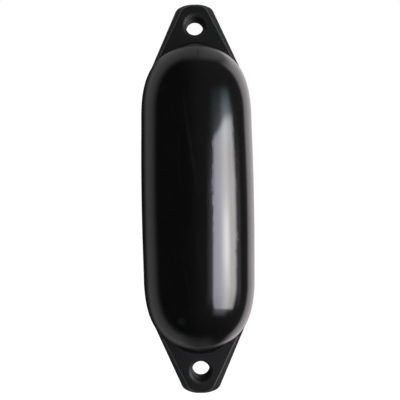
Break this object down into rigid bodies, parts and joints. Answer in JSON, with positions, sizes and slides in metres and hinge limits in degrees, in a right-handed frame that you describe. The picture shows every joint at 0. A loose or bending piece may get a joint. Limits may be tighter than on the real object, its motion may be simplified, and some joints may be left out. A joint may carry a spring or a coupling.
{
  "type": "inflatable boat fender",
  "caption": "Black air-filled vinyl boat fender: a smooth round body with domed ends, and a flat lug with a rope eye at each end.",
  "frame": {"origin": "the middle of the body, half way between the two eyes, on the long axis", "axes": "+Z along the long axis towards the upper eye, by which the fender hangs; the lugs' flat faces look towards -Y (front) and +Y (back, the side with the valve)"},
  "size_m": [0.215, 0.215, 0.75],
  "materials": {
    "black_vinyl": "gloss",
    "black_nylon": "satin",
    "black_rubber": "matte"
  },
  "bodies": {
    "root": {"fender_body": "black_vinyl", "valve_seat": "black_nylon", "valve_screw": "black_nylon", "valve_seal": "black_rubber"}
  },
  "joints": []
}
